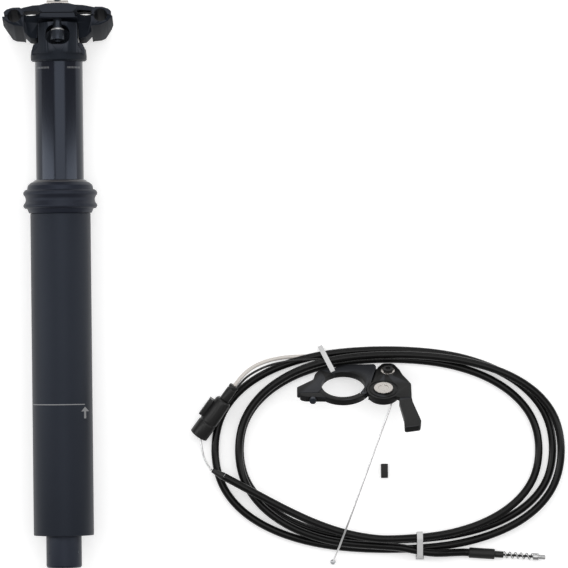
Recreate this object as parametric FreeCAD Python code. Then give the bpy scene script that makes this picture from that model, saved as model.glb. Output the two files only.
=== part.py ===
import FreeCAD, Part
import math
import os

from FreeCAD import Vector

# Dropper seatpost laid on its back beside its remote lever and its coil of cable housing.
# Millimetres, +Z up, post axis along +Y, origin where that axis meets the outer tube's lower rim.

# Post
TUBE_R = 15.45
TUBE_WALL = 1.7
TUBE_TOP = 174.0
SHOULDER_R = TUBE_R - 0.45
SHOULDER_Y = TUBE_TOP - 9.0
BUSHING_WALL = 1.5
BUSHING_FOOT = TUBE_TOP - 26.0
STANCHION_R = TUBE_R - TUBE_WALL - BUSHING_WALL
STANCHION_WALL = 1.2
STANCHION_FOOT = BUSHING_FOOT - 32.0
TRAVEL = 60.0
RUNNING = 0.05
FIT_GAP = 0.02

# Ribbed collar around the tube's top
COLLAR_FOOT = TUBE_TOP - 8.8
COLLAR_TOP = TUBE_TOP + 7.0
COLLAR_R = TUBE_R + 1.55
RIDGE_R = COLLAR_R + 2.0
VALLEY_R = COLLAR_R + 0.7

# Surface that everything lies on
FLOOR = -RIDGE_R

# Head and saddle clamp
HEAD_FOOT = COLLAR_TOP + TRAVEL + 1.9
HEAD_R = STANCHION_R + 2.15
NECK_HALF = 10.0
RAIL_R = 3.5
RAIL_HALF_SPACING = 22.0
RAIL_Y = HEAD_FOOT + 19.6
LUG_TOP = RAIL_Y - 3.1
SADDLE_TILT = 13.5
SADDLE_R = 7.0
BOLT_R = 2.5
BOLT_Z = HEAD_R - BOLT_R - 0.9
CLAMP_HALF_LENGTH = BOLT_Z + 4.0
BOLT_HEAD_R = 3.7
BOLT_HEAD_H = 5.0
BOLT_HEAD_Y = RAIL_Y - 12.3
NUT_R = 3.0
NUT_LENGTH = 11.0
NUT_Y = RAIL_Y + 6.2

# Spring cartridge inside
CARTRIDGE_R = STANCHION_R - STANCHION_WALL - 2.05
CARTRIDGE_WALL = 1.4
CARTRIDGE_FOOT = TRAVEL + 32.0
CARTRIDGE_TOP = HEAD_FOOT - 42.9
SHAFT_R = 4.0
SHAFT_BORE = 1.4
PISTON_Y = CARTRIDGE_FOOT + 8.0
NUT_FOOT = 14.1

# Actuator under the tube
CAP_R = TUBE_R - 6.6
CAP_FOOT = -14.1
SLOT_HALF = 2.6
PIVOT_Y = -8.6
PIVOT_Z = 4.0
PIVOT_R = 1.5

# Remote lever: its own frame has u to the right, v along the plate and w along the handlebar
REMOTE_ORIGIN = Vector(143.98, 74.42, FLOOR + 19.6)
REMOTE_SINE = 0.56
BAR_R = 11.1
BAND_WALL = 3.0
PLATE_HALF = 1.6
LEVER_PIVOT = (20.6, -5.0)
LEVER_HUB_R = 8.6
LEVER_FOOT = -0.25
LEVER_TOP = 1.9
SHELF_FOOT = -2.4
SHELF_TOP = -0.6
PIVOT_BOLT_R = 2.6
BUSH_R = 3.6
ANCHOR = (23.2, 11.2)
HINGE = (10.19, -7.41)
HINGE_R = 0.7
KNUCKLE_R = 1.45
CHEEK = 0.95
BAND_SWING = BAND_WALL + 0.15
SPLIT = -6.9
CLAMP_BOLT_U = -15.6
CLAMP_BOLT_R = 0.9

# Housing coil
HOUSING_R = 2.0
COIL_X = 166.8
COIL_Y = 41.6
COIL_A = 88.9
COIL_B = 51.3
COIL_TURN = -0.6
COIL_Z = FLOOR + 2.7
STACK = 4.55
# Each turn's place at the right, top, left and bottom of the oval: outward step and lift
LOOPS = (
    ((-11.2, 0.0), (-4.6, 0.0), (-13.0, 0.0), (-4.9, 0.0)),
    ((-5.0, 0.0), (0.0, 0.0), (0.0, 0.0), (0.0, 0.0)),
    ((0.2, STACK), (-2.4, 4.3), (-12.4, STACK), (-1.6, STACK)),
)
FIRST_BOTTOM = (-5.6, 2 * STACK)
STUB_START = Vector(82.3, 28.9, COIL_Z + 2 * STACK)
STUB_AIM = Vector(0.884, -0.468, 0)
TAIL_BEND = Vector(190.7, -11.9, COIL_Z + STACK)
TAIL_END = Vector(207.9, -11.9, COIL_Z)
TAIL_AIM = Vector(0.997, -0.074, 0)

# Cable adjuster
ADJUSTER_FOOT = Vector(69.3, 50.0, FLOOR + 5.8)
ADJUSTER_AIM = Vector(0.5853, 0.7899, 0.1829)
ADJUSTER_R = 4.9
ADJUSTER_NECK_R = 4.2
ADJUSTER_LENGTH = 23.0
BARREL_R = 2.6
BARREL_LENGTH = 9.3
LINER_R = 1.0
CABLE_R = 0.6
WIRE_R = 0.5

# Cable ties
TIE_WALL = 0.55
TOP_TIE = Vector(136.6, 87.0, 0)
FOOT_TIE = Vector(182.7, -8.2, 0)

# Sprung cable end
BOOT_R = 2.7
BOOT_LENGTH = 13.4
SPRING_R = 1.6
SPRING_WIRE = 0.3
SPRING_CURLS = 5
SPRING_PITCH = 2.9

X, Y, Z = Vector(1, 0, 0), Vector(0, 1, 0), Vector(0, 0, 1)


def cylinder(radius, start, axis, length):
    return Part.makeCylinder(radius, length, start, axis)


def ring(outer, inner, start, axis, length):
    return cylinder(outer, start, axis, length).cut(cylinder(inner, start, axis, length))


def box(low, high):
    size = high - low
    return Part.makeBox(size.x, size.y, size.z, low)


def over_floor(x, y, height):
    return Vector(x, y, FLOOR + height)


def turned(profile, inner=0.0):
    """Body of revolution about the post axis from (radius, y) points, bored out to a radius."""
    points = [Vector(r, y, 0) for r, y in profile]
    points += [Vector(inner, profile[-1][1], 0), Vector(inner, profile[0][1], 0), points[0]]
    return Part.Face(Part.makePolygon(points)).revolve(Vector(), Y, 360)


def outline(corners):
    """Closed wire through (x, y, corner radius), its corners rounded by tangent arcs."""
    corner_arcs = []
    count = len(corners)
    for k, (x, y, r) in enumerate(corners):
        here = Vector(x, y, 0)
        back = (Vector(*corners[k - 1][:2], 0) - here).normalize()
        ahead = (Vector(*corners[(k + 1) % count][:2], 0) - here).normalize()
        half = back.getAngle(ahead) / 2
        reach = r / math.tan(half)
        middle = here + (back + ahead).normalize() * (r / math.sin(half) - r)
        corner_arcs.append((here + back * reach, middle, here + ahead * reach))
    edges = []
    for k, (start, middle, stop) in enumerate(corner_arcs):
        if corners[k][2] > 0:
            edges.append(Part.Arc(start, middle, stop).toShape())
        edges.append(Part.LineSegment(stop, corner_arcs[(k + 1) % count][0]).toShape())
    return Part.Wire(edges)


def plate(corners, low, high):
    """Slab with a rounded outline, between two heights."""
    face = Part.Face(outline(corners))
    face.translate(Z * low)
    return face.extrude(Z * (high - low))


def mirrored(right_side):
    """Outline that is alike left and right, from the corners of its right side, bottom to top."""
    left = [(-x, y, r) for x, y, r in reversed(right_side)]
    return list(right_side) + left


def link(a, ra, b, rb, low, high):
    """Slab around two circles and the straight flanks that join them."""
    a, b = Vector(*a, 0), Vector(*b, 0)
    line = b - a
    angle = math.atan2(line.y, line.x)
    lean = math.acos((ra - rb) / line.Length)
    points = []
    for centre, r, sign in ((a, ra, 1), (b, rb, 1), (b, rb, -1), (a, ra, -1)):
        t = angle + sign * lean
        points.append(centre + Vector(math.cos(t), math.sin(t), 0) * r)
    flat = Part.Face(Part.makePolygon(points + points[:1]))
    flat.translate(Z * low)
    solid = flat.extrude(Z * (high - low))
    for centre, r in ((a, ra), (b, rb)):
        solid = solid.fuse(cylinder(r, centre + Z * low, Z, high - low))
    return solid.removeSplitter()


def save(name, shape):
    solids = [s for s in shape.Solids if s.Volume > 1e-4]
    out = solids[0] if len(solids) == 1 else Part.makeCompound(solids)
    out.exportStep(f"parts/{name}.step")


def tube_of(wire, start, aim, radius):
    circle = Part.Wire(Part.makeCircle(radius, start, aim))
    return wire.makePipeShell([circle], True, False)


def cord(name, points, radius):
    """Tube along straight runs joined by tangent arcs as large as the runs allow."""
    points = [Vector(*p) for p in points]
    edges = []
    at = points[0]
    radii = []
    for before, here, after in zip(points, points[1:], points[2:]):
        back, ahead = before - here, after - here
        reach = 0.45 * min(back.Length, ahead.Length)
        half = back.getAngle(ahead) / 2
        bend = reach * math.tan(half)
        radii.append(round(bend, 1))
        back.normalize()
        ahead.normalize()
        start, stop = here + back * reach, here + ahead * reach
        middle = here + (back + ahead).normalize() * (bend / math.sin(half) - bend)
        edges.append(Part.LineSegment(at, start).toShape())
        edges.append(Part.Arc(start, middle, stop).toShape())
        at = stop
    edges.append(Part.LineSegment(at, points[-1]).toShape())
    wire = Part.Wire(edges)
    solid = tube_of(wire, points[0], points[1] - points[0], radius)
    share = solid.Volume / (wire.Length * math.pi * radius**2)
    print(f"{name}: length {wire.Length:.1f}, bend radii {radii}, volume share {share:.3f}")
    return solid


def biarc(p0, t0, p1, t1):
    """Two tangent arcs from one point and direction to another."""
    t0, t1 = Vector(t0).normalize(), Vector(t1).normalize()
    v, t = p1 - p0, t0 + t1
    k = 2 * (1 - t0.dot(t1))
    reach = (-v.dot(t) + math.sqrt(v.dot(t) ** 2 + k * v.dot(v))) / k
    joint = (p0 + p1 + (t0 - t1) * reach) * 0.5
    first = Part.Arc(p0, arc_middle(p0, t0, joint), joint)
    second = Part.Arc(joint, arc_middle(p1, t1 * -1, joint), p1)
    return [first.toShape(), second.toShape()]


def arc_middle(start, aim, stop):
    chord = stop - start
    side = chord - aim * chord.dot(aim)
    radius = chord.Length**2 / (2 * side.Length)
    centre = start + side.normalize() * radius
    return ((start - centre) + (stop - centre)).normalize() * radius + centre


def coil_stations():
    """Points and directions of the housing at every quarter turn, stub and tail included."""
    turn = math.radians(COIL_TURN)
    stations = [(STUB_START, STUB_AIM)]

    def station(quarter, out, lift):
        angle = quarter * math.pi / 2
        x, y = (COIL_A + out) * math.cos(angle), (COIL_B + out) * math.sin(angle)
        tx, ty = -math.sin(angle), math.cos(angle)
        c, s = math.cos(turn), math.sin(turn)
        point = Vector(COIL_X + x * c - y * s, COIL_Y + x * s + y * c, COIL_Z + lift)
        stations.append((point, Vector(tx * c - ty * s, tx * s + ty * c, 0)))

    station(3, *FIRST_BOTTOM)
    for loop in LOOPS:
        for quarter, (out, lift) in enumerate(loop):
            station(quarter, out, lift)
    stations.append((TAIL_BEND, Vector(1, -0.03, -0.06)))
    stations.append((TAIL_END, TAIL_AIM))
    return stations


def housing_coil():
    """The coil as one unbroken tube on biarcs, with its least gap to itself printed."""
    stations = coil_stations()
    arcs = []
    for (p0, t0), (p1, t1) in zip(stations, stations[1:]):
        arcs += biarc(p0, t0, p1, t1)
    along = []
    at = 0.0
    for arc in arcs:
        for i, point in enumerate(arc.discretize(max(5, int(arc.Length / 1.5)))[:-1]):
            along.append((at + 1.5 * i, point))
        at += arc.Length
    gap = least_gap(along, 12 * HOUSING_R)
    least = min(arc.Curve.Radius for arc in arcs)
    print(f"housing_coil: length {at:.0f}, least bend {least:.1f}, gap {gap - 2 * HOUSING_R:.2f}")
    return tube_of(Part.Wire(arcs), stations[0][0], stations[0][1], HOUSING_R)


def least_gap(along, apart):
    """Least distance between points that lie further apart than a length along the path."""
    cells = {}
    size = 8.0
    best = 1e9
    for s, p in along:
        cell = tuple(int(math.floor(c / size)) for c in p)
        for dx in (-1, 0, 1):
            for dy in (-1, 0, 1):
                for dz in (-1, 0, 1):
                    for s2, q in cells.get((cell[0] + dx, cell[1] + dy, cell[2] + dz), ()):
                        if abs(s - s2) > apart:
                            best = min(best, p.distanceToPoint(q))
        cells.setdefault(cell, []).append((s, p))
    return best


def outer_tube():
    bore = TUBE_R - TUBE_WALL
    tube = turned([(TUBE_R, 0), (TUBE_R, SHOULDER_Y), (SHOULDER_R, SHOULDER_Y),
                   (SHOULDER_R, TUBE_TOP)], bore)
    foot = BUSHING_FOOT - 28 - TRAVEL
    for angle in (90, 210, 330):
        groove = box(Vector(bore - 1, foot, -1.55), Vector(bore + 0.8, BUSHING_FOOT - 0.2, 1.55))
        groove.rotate(Vector(), Y, angle)
        tube = tube.cut(groove)
    return tube


def seal_collar():
    """Threaded aluminium collar that closes the tube's top and carries the wiper."""
    inner = SHOULDER_R + FIT_GAP
    lip = STANCHION_R + 0.6
    seat = STANCHION_R + 1.95
    wiper_seat = COLLAR_TOP - 3.0
    points = [(inner, COLLAR_FOOT), (TUBE_R + 0.65, COLLAR_FOOT), (COLLAR_R, COLLAR_FOOT + 2.2),
              (COLLAR_R, COLLAR_TOP - 3.6), (COLLAR_R - 0.4, COLLAR_TOP - 1.6),
              (seat + 0.6, COLLAR_TOP), (seat, COLLAR_TOP), (seat, wiper_seat),
              (lip, wiper_seat), (lip, TUBE_TOP + 0.1), (inner, TUBE_TOP + 0.1)]
    points = [Vector(r, y, 0) for r, y in points]
    return Part.Face(Part.makePolygon(points + points[:1])).revolve(Vector(), Y, 360)


def collar_cover():
    """Rubber sleeve over the collar with two raised ridges, drawn with arcs."""
    inner = COLLAR_R + FIT_GAP
    foot, top = COLLAR_FOOT + 2.3, COLLAR_FOOT + 12.0
    ridges = (foot + 1.4, top - 1.9)
    middle = sum(ridges) / 2
    shoulder = COLLAR_R + 1.2
    edges = [
        Part.LineSegment(Vector(inner, top, 0), Vector(inner, foot, 0)).toShape(),
        Part.LineSegment(Vector(inner, foot, 0), Vector(COLLAR_R + 0.9, foot, 0)).toShape(),
        Part.Arc(Vector(COLLAR_R + 0.9, foot, 0), Vector(RIDGE_R, ridges[0], 0),
                 Vector(shoulder, ridges[0] + 1.5, 0)).toShape(),
        Part.Arc(Vector(shoulder, ridges[0] + 1.5, 0), Vector(VALLEY_R, middle, 0),
                 Vector(shoulder, ridges[1] - 1.5, 0)).toShape(),
        Part.Arc(Vector(shoulder, ridges[1] - 1.5, 0), Vector(RIDGE_R, ridges[1], 0),
                 Vector(COLLAR_R + 0.7, top, 0)).toShape(),
        Part.LineSegment(Vector(COLLAR_R + 0.7, top, 0), Vector(inner, top, 0)).toShape(),
    ]
    return Part.Face(Part.Wire(edges)).revolve(Vector(), Y, 360)


def wiper_seal():
    foot = COLLAR_TOP - 3.0
    outer = STANCHION_R + 1.9
    return turned([(outer, foot), (outer, COLLAR_TOP), (outer - 0.75, COLLAR_TOP + 0.9),
                   (STANCHION_R + 0.35, COLLAR_TOP + 1.3)], STANCHION_R + RUNNING)


def upper_bushing():
    outer = TUBE_R - TUBE_WALL - FIT_GAP
    return ring(outer, STANCHION_R + RUNNING, Y * BUSHING_FOOT, Y, TUBE_TOP - BUSHING_FOOT)


def topout_bumper():
    outer = TUBE_R - TUBE_WALL - 0.1
    return ring(outer, STANCHION_R + 0.3, Y * (BUSHING_FOOT - 3.7), Y, 3.6)


def inner_tube():
    length = HEAD_FOOT + 2.0 - STANCHION_FOOT
    tube = ring(STANCHION_R, STANCHION_R - STANCHION_WALL, Y * STANCHION_FOOT, Y, length)
    for key in keys(FIT_GAP):
        tube = tube.cut(key)
    return tube


def keys(margin):
    """Three keys in the foot of the inner tube that run in the outer tube's grooves."""
    found = []
    low, high = BUSHING_FOOT - 14 - margin, BUSHING_FOOT - 4 + margin
    for angle in (90, 210, 330):
        key = box(Vector(STANCHION_R - 0.7 - margin, low, -1.5 - margin),
                  Vector(TUBE_R - TUBE_WALL + 0.7, high, 1.5 + margin))
        key.rotate(Vector(), Y, angle)
        found.append(key)
    return found


def lower_bushing():
    outer = TUBE_R - TUBE_WALL - RUNNING
    return ring(outer, STANCHION_R + FIT_GAP, Y * (STANCHION_FOOT + 2), Y, 14)


def cartridge_body():
    bore = CARTRIDGE_R - CARTRIDGE_WALL
    length = CARTRIDGE_TOP - CARTRIDGE_FOOT
    shell = cylinder(CARTRIDGE_R, Y * CARTRIDGE_FOOT, Y, length)
    return shell.cut(cylinder(bore, Y * CARTRIDGE_FOOT, Y, length - 4))


def cartridge_parts():
    bore = CARTRIDGE_R - CARTRIDGE_WALL
    stanchion_bore = STANCHION_R - STANCHION_WALL
    top = CARTRIDGE_TOP
    save("cartridge_body", cartridge_body())
    save("cartridge_seal_head", ring(bore - FIT_GAP, SHAFT_R + RUNNING, Y * CARTRIDGE_FOOT, Y, 6))
    save("floating_piston", cylinder(bore - FIT_GAP, Y * (top - 24), Y, 7))
    retainer = ring(stanchion_bore - FIT_GAP, CARTRIDGE_R + FIT_GAP, Y * (top - 12), Y, 7)
    save("cartridge_retainer", retainer)
    save("top_plug", cylinder(stanchion_bore - FIT_GAP, Y * (top + 0.05), Y, 6))
    save("cartridge_shaft", ring(SHAFT_R, SHAFT_BORE, Vector(), Y, PISTON_Y + 6))
    save("shaft_piston", ring(bore - RUNNING, SHAFT_R + FIT_GAP, Y * PISTON_Y, Y, 6))
    save("release_pin", cylinder(SHAFT_BORE - RUNNING, Y * -1.6, Y, PISTON_Y - 2))
    rings = [(7.4, 7.9), (8.2, 9.4), (7.4, 10.9), (8.2, 12.4), (7.4, 13.9), (7.0, 15.4)]
    bumper = turned([(r, NUT_FOOT + y) for r, y in rings], SHAFT_R + 0.1)
    save("bottomout_bumper", bumper)
    nut = hexagon(6.2, NUT_FOOT, NUT_FOOT + 4.4)
    save("shaft_nut", nut.cut(cylinder(SHAFT_R + FIT_GAP, Y * (NUT_FOOT - 0.1), Y, 5)))


def hexagon(radius, low, high):
    points = [Vector(radius * math.cos(k * math.pi / 3), low, radius * math.sin(k * math.pi / 3))
              for k in range(7)]
    return Part.Face(Part.makePolygon(points)).extrude(Y * (high - low))


def bottom_cap():
    """Plug in the tube's foot, with the forked housing that holds the actuator lever."""
    plug = cylinder(TUBE_R - TUBE_WALL - FIT_GAP, Y * 0.3, Y, NUT_FOOT - 0.4)
    nose = turned([(CAP_R - 0.8, CAP_FOOT), (CAP_R, CAP_FOOT + 0.8), (CAP_R, 0.4)])
    body = plug.fuse(nose)
    body = body.cut(cylinder(SHAFT_R + FIT_GAP, Vector(), Y, 15))
    slot = box(Vector(-SLOT_HALF, CAP_FOOT - 1, -CAP_R - 1), Vector(SLOT_HALF, -0.2, CAP_R + 1))
    body = body.cut(slot).cut(cylinder(SHAFT_R - 0.6, Y * -0.3, Y, 1))
    body = body.cut(cylinder(PIVOT_R + FIT_GAP, Vector(-10, PIVOT_Y, PIVOT_Z), X, 20))
    notch = cylinder(3.2, Vector(0, CAP_FOOT - 0.1, 0), Y, 2.0)
    return body.cut(notch).removeSplitter()


def actuator_parts():
    half = SLOT_HALF - 0.35
    arms = link((PIVOT_Y, PIVOT_Z), 3.0, (PIVOT_Y + 4.5, 0), 2.2, -half, half)
    arms = arms.fuse(link((PIVOT_Y, PIVOT_Z), 3.0, (PIVOT_Y, -5.6), 2.4, -half, half))
    arms = arms.cut(cylinder(PIVOT_R + RUNNING, Vector(PIVOT_Y, PIVOT_Z, -4), Z, 8))
    arms = arms.cut(cylinder(1.2, Vector(PIVOT_Y, -5.6, -4), Z, 8))
    turn = FreeCAD.Matrix(0, 0, 1, 0, 1, 0, 0, 0, 0, 1, 0, 0, 0, 0, 0, 1)
    arms.transformShape(turn)
    save("actuator_lever", arms)
    reach = math.sqrt(CAP_R**2 - PIVOT_Z**2) - 0.2
    save("actuator_pin", cylinder(PIVOT_R, Vector(-reach, PIVOT_Y, PIVOT_Z), X, 2 * reach))


def tilted(shape):
    """Shape turned from the post's own axes to the angle at which the saddle clamp is set."""
    turned_shape = shape.copy()
    turned_shape.rotate(Vector(0, RAIL_Y, 0), X, -SADDLE_TILT)
    return turned_shape


def post_head():
    foot = HEAD_FOOT
    skirt = turned([(HEAD_R - 0.8, foot), (HEAD_R - 0.1, foot + 0.7), (HEAD_R, foot + 2.5),
                    (HEAD_R - 0.3, foot + 5.5), (HEAD_R - 1.5, foot + 7.7)])
    neck = plate(mirrored([(HEAD_R - 1.6, foot + 4.1, 0), (NECK_HALF, foot + 7.9, 2),
                           (NECK_HALF, RAIL_Y + 6, 0)]), 0.2 - HEAD_R, HEAD_R - 0.2)
    neck = neck.common(cylinder(HEAD_R + 0.5, Y * foot, Y, 40))
    above = tilted(box(Vector(-20, LUG_TOP, -40), Vector(20, RAIL_Y + 40, 40)))
    head = skirt.fuse(neck).cut(above)
    head = head.cut(cylinder(SADDLE_R + RUNNING, Vector(-20, RAIL_Y, 0), X, 40))
    low, high = RAIL_Y - 14.2, RAIL_Y - 4.6
    for side in (-1, 1):
        pocket = plate([(6.2, low, 4.0), (6.2, high, 4.0), (-6.2, high, 4.0), (-6.2, low, 4.0)],
                       5.6, 20)
        if side < 0:
            pocket.rotate(Vector(), Y, 180)
        head = head.cut(tilted(pocket))
        hole = cylinder(BOLT_R + 0.9, Vector(0, RAIL_Y - 7.5, side * BOLT_Z), Y, 8)
        head = head.cut(tilted(hole))
    bore = STANCHION_R - STANCHION_WALL
    spigot = cylinder(bore - FIT_GAP, Y * (foot - 12), Y, 13)
    socket = ring(STANCHION_R + FIT_GAP, bore - FIT_GAP, Y * (foot - 13), Y, 15.1)
    return head.cut(socket).fuse(spigot).removeSplitter()


def lower_cradle():
    """Cradle with two rail troughs and a round keel that rocks in the head."""
    y, rail = RAIL_Y, RAIL_HALF_SPACING
    cheek = NECK_HALF + 0.45
    body = plate(mirrored([(cheek, y - 1.2, 0.5), (cheek, y - 9.6, 0.8), (rail - 7.6, y - 9.0, 1.5),
                           (rail - 4.4, y - 5.6, 1.5), (rail, y - 5.2, 2.5), (rail + 3.6, y - 3.4, 2.0),
                           (rail + 6.6, y - 0.4, 0.3), (rail - 4.4, y - 0.4, 0.5),
                           (rail - 5.4, y - 0.9, 0.3), (NECK_HALF - 0.8, y - 0.9, 0.3),
                           (NECK_HALF - 1.4, y + 1.3, 0.5)]), -CLAMP_HALF_LENGTH, CLAMP_HALF_LENGTH)
    keel = cylinder(SADDLE_R, Vector(-NECK_HALF + 0.1, y, 0), X, 2 * NECK_HALF - 0.2)
    keel = keel.common(box(Vector(-20, y - 20, -20), Vector(20, y, 20)))
    body = body.fuse(keel)
    for side in (-1, 1):
        body = body.cut(cylinder(RAIL_R, Vector(side * rail, y, -20), Z, 40))
        body = body.cut(cylinder(BOLT_R + 0.3, Vector(0, y - 7.5, side * BOLT_Z), Y, 12))
        for end in (-1, 1):
            body = body.cut(arm_window(side, end, rail - 4.8, y - 12.5, y + 2.5))
    return tilted(body)


def arm_window(side, end, reach, low, high):
    """Cut-out beside the arm that joins the clamp's middle to one rail trough."""
    xs = sorted((side * (NECK_HALF + 0.2), side * reach))
    zs = sorted((end * 5.5, end * 20))
    return box(Vector(xs[0], low, zs[0]), Vector(xs[1], high, zs[1]))


def upper_clamp():
    """Bow-shaped clamp over both rails, with seats for the two barrel nuts."""
    y, rail = RAIL_Y, RAIL_HALF_SPACING
    body = plate(mirrored([(7.6, y + 1.8, 0.5), (9.4, y + 3.3, 0.8), (rail - 6.0, y + 3.6, 1.5),
                           (rail - 4.4, y + 0.4, 0.5), (rail + 5.0, y + 0.4, 0.5),
                           (rail + 5.4, y + 2.2, 1.2), (rail + 1.0, y + 4.6, 2.5),
                           (6.0, y + 6.6, 8.0)]), -CLAMP_HALF_LENGTH, CLAMP_HALF_LENGTH)
    for side in (-1, 1):
        body = body.cut(cylinder(RAIL_R, Vector(side * rail, y, -20), Z, 40))
        body = body.cut(cylinder(BOLT_R + 0.3, Vector(0, y - 2.5, side * BOLT_Z), Y, 15))
        body = body.cut(cylinder(NUT_R + FIT_GAP, Vector(-7, NUT_Y, side * BOLT_Z), X, 14))
        for end in (-1, 1):
            body = body.cut(arm_window(side, end, rail - 5.6, y - 2.5, y + 12.5))
    return tilted(body)


def clamp_fasteners():
    bolts, nuts, washers = [], [], []
    top = BOLT_HEAD_Y + BOLT_HEAD_H
    for side in (-1, 1):
        z = side * BOLT_Z
        bolt = cylinder(BOLT_HEAD_R, Vector(0, BOLT_HEAD_Y, z), Y, BOLT_HEAD_H)
        bolt = bolt.fuse(cylinder(BOLT_R, Vector(0, top, z), Y, NUT_Y + NUT_R - 0.3 - top))
        socket = hexagon(2.3, BOLT_HEAD_Y, BOLT_HEAD_Y + 2.5)
        socket.translate(Z * z)
        bolts.append(bolt.cut(socket))
        washers.append(ring(BOLT_HEAD_R, BOLT_R + FIT_GAP, Vector(0, top, z), Y, 0.8))
        nut = cylinder(NUT_R, Vector(-NUT_LENGTH / 2, NUT_Y, z), X, NUT_LENGTH)
        nuts.append(nut.cut(cylinder(BOLT_R + FIT_GAP, Vector(0, NUT_Y - 10, z), Y, 20)))
    save("clamp_bolts", tilted(Part.makeCompound(bolts)))
    save("clamp_barrel_nuts", tilted(Part.makeCompound(nuts)))
    save("clamp_washers", tilted(Part.makeCompound(washers)))


def on_remote(shape):
    """Shape moved from the remote's own frame to where the remote leans on the bundle."""
    s = REMOTE_SINE
    c = math.sqrt(1 - s * s)
    o = REMOTE_ORIGIN
    matrix = FreeCAD.Matrix(1, 0, 0, o.x, 0, s, c, o.y, 0, -c, s, o.z, 0, 0, 0, 1)
    moved = shape.copy()
    moved.transformShape(matrix)
    return moved


def remote_point(u, v, w):
    s = REMOTE_SINE
    c = math.sqrt(1 - s * s)
    return REMOTE_ORIGIN + Vector(u, s * v + c * w, -c * v + s * w)


def sector(start, stop, outer, inner, low, high):
    """Part of a ring about the bar axis, between two angles in degrees."""
    arc = Part.makeCylinder(outer, high - low, Z * low, Z, stop - start)
    arc.rotate(Vector(), Z, start)
    return arc.cut(cylinder(inner, Z * (low - 1), Z, high - low + 2))


def remote_body():
    """Upper part of the handlebar clamp, with the shelf that carries the lever."""
    h = PLATE_HALF
    body = plate([(-23.7, SPLIT, 1.0), (-13.2, SPLIT, 0), (-11.2, -3.9, 0), (10.0, -3.9, 0),
                  (13.3, -3.0, 0), (17.2, 15.6, 0), (16.4, 18.0, 1.2), (-2.0, 17.6, 1.2),
                  (-3.9, 14.9, 1.2), (-12.2, 13.6, 6.0), (-14.6, 8.6, 3.0), (-15.2, 4.8, 1.5),
                  (-23.7, -2.1, 1.5)], -h, h)
    body = body.fuse(sector(-36, 1, BAR_R + BAND_WALL, BAR_R, -h, h))
    hinge = Vector(*HINGE, 0)
    pivot = Vector(*LEVER_PIVOT, 0)
    body = body.fuse(cylinder(KNUCKLE_R, hinge - Z * h, Z, 2 * h))
    body = body.cut(cylinder(KNUCKLE_R + 0.35, hinge - Z * CHEEK, Z, 2 * CHEEK))
    body = body.cut(cylinder(LEVER_HUB_R + 0.35, pivot + Z * SHELF_TOP, Z, 5))
    shelf = cylinder(7.9, pivot + Z * SHELF_FOOT, Z, SHELF_TOP - SHELF_FOOT)
    bridge = plate([(10.0, -7.6, 0), (16.0, -11.4, 0), (18.0, 4.0, 0), (9.0, 4.0, 0)], -h, -CHEEK)
    bridge = bridge.cut(cylinder(BAND_SWING, hinge - Z * h, Z, 2 * h))
    bridge = bridge.cut(sector(300, 324, BAR_R + BAND_WALL + 0.4, 1, -5, 5))
    body = body.fuse(shelf).fuse(bridge)
    body = body.cut(cylinder(BAR_R, Z * -5, Z, 10))
    body = body.cut(cylinder(HINGE_R + FIT_GAP, hinge - Z * 5, Z, 10))
    body = body.cut(cylinder(PIVOT_BOLT_R + FIT_GAP, pivot - Z * 5, Z, 10))
    bolt_hole = cylinder(CLAMP_BOLT_R + 0.35, Vector(CLAMP_BOLT_U, SPLIT - 1, 0), Y, 6.4)
    slot = box(Vector(CLAMP_BOLT_U - 9, SPLIT - 1, -1.25), Vector(CLAMP_BOLT_U, SPLIT + 5.4, 1.25))
    body = body.cut(bolt_hole).cut(slot)
    return body.cut(ring(6.3, 4.2, pivot + Z * (SHELF_TOP - 1.3), Z, 3))


def remote_band():
    """Hinged lower part of the handlebar clamp."""
    h = PLATE_HALF
    outer = BAR_R + BAND_WALL
    hinge = Vector(*HINGE, 0)
    band = sector(200, 324, outer, BAR_R, -h, h)
    ear = plate([(-22.8, SPLIT - 0.35, 0.8), (-21.6, -9.4, 1.0), (-19.4, -10.4, 1.0),
                 (-8.0, -10.8, 0), (-8.0, SPLIT - 0.35, 0)], -h, h)
    band = band.fuse(ear)
    above = plate([(-30, SPLIT - 0.35, 0), (-13.0, SPLIT - 0.35, 0), (-11.02, -4.25, 0),
                   (-9.0, -4.25, 0), (-9.0, 5, 0), (-30, 5, 0)], -5, 5)
    band = band.cut(above)
    for low in (CHEEK - 0.3, -5):
        band = band.cut(cylinder(KNUCKLE_R + 0.35, hinge + Z * low, Z, 5 - CHEEK + 0.3))
    band = band.fuse(cylinder(KNUCKLE_R, hinge - Z * (CHEEK - 0.3), Z, 2 * CHEEK - 0.6))
    band = band.cut(cylinder(HINGE_R + RUNNING, hinge - Z * 5, Z, 10))
    band = band.cut(cylinder(BAR_R, Z * -5, Z, 10))
    bolt_hole = cylinder(CLAMP_BOLT_R + FIT_GAP, Vector(CLAMP_BOLT_U, -14, 0), Y, 8)
    return band.cut(bolt_hole).removeSplitter()


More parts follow.
